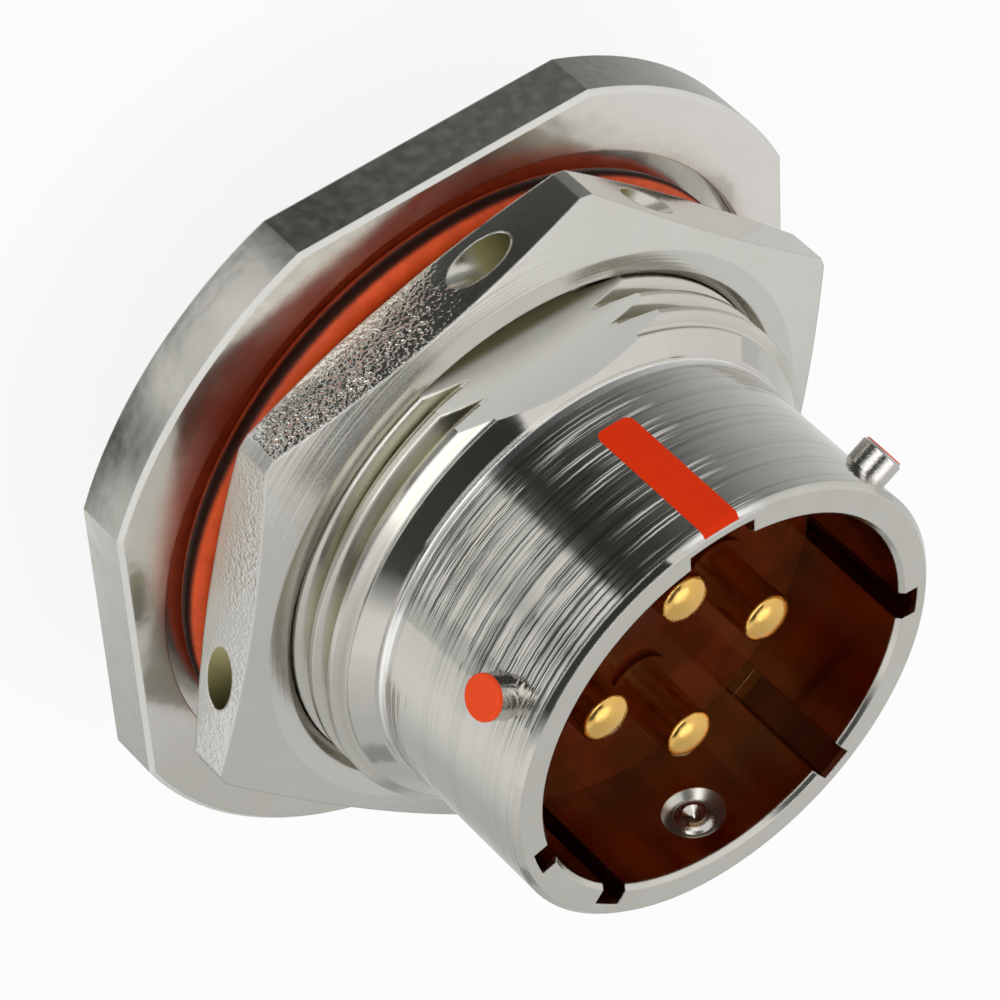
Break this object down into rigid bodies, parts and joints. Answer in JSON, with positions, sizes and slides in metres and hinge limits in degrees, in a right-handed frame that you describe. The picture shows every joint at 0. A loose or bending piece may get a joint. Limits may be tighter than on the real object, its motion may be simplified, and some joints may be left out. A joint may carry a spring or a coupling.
{
  "type": "hermetic bayonet panel connector",
  "caption": "Round panel-mount connector with a jam nut, bayonet pins, keyed mouth and glass-sealed contacts",
  "frame": {"origin": "centre of the flange's front face, where the axis of the shell crosses the plane on which the panel seats", "axes": "+Z out of the mouth along the axis, +Y through the master keyway, +X completes a right-handed frame"},
  "size_m": [0.0354, 0.0354, 0.0281],
  "materials": {
    "plated_shell": "steel, turned, nickel plated, satin with bright edges",
    "plated_nut": "steel, nickel plated, flats slightly pitted under the plating",
    "o_ring_silicone": "orange-red silicone rubber, satin",
    "seal_silicone": "red-brown silicone rubber, glossy",
    "sealing_glass": "dark sealing glass, fused",
    "gold_contact": "nickel-iron alloy, gold plated, polished",
    "red_paint": "orange-red paint, the stripe on the barrel and the ends of the bayonet pins",
    "bayonet_pin": "stainless steel with a red painted end"
  },
  "bodies": {
    "receptacle": {"shell": "plated_shell", "o_ring": "o_ring_silicone", "interfacial_seal": "seal_silicone", "glass_bead_a": "sealing_glass", "glass_bead_b": "sealing_glass", "glass_bead_c": "sealing_glass", "glass_bead_d": "sealing_glass", "contact_a": "gold_contact", "contact_b": "gold_contact", "contact_c": "gold_contact", "contact_d": "gold_contact", "bayonet_pin_left": "bayonet_pin", "bayonet_pin_right": "bayonet_pin", "bayonet_pin_bottom": "bayonet_pin"},
    "nut": {"jam_nut": "plated_nut"}
  },
  "joints": [
    {"name": "jam_nut_travel", "type": "slide", "parent": "receptacle", "child": "nut", "axis": [0, 0, 1], "range_m": [-0.0003, 0.0063]}
  ]
}
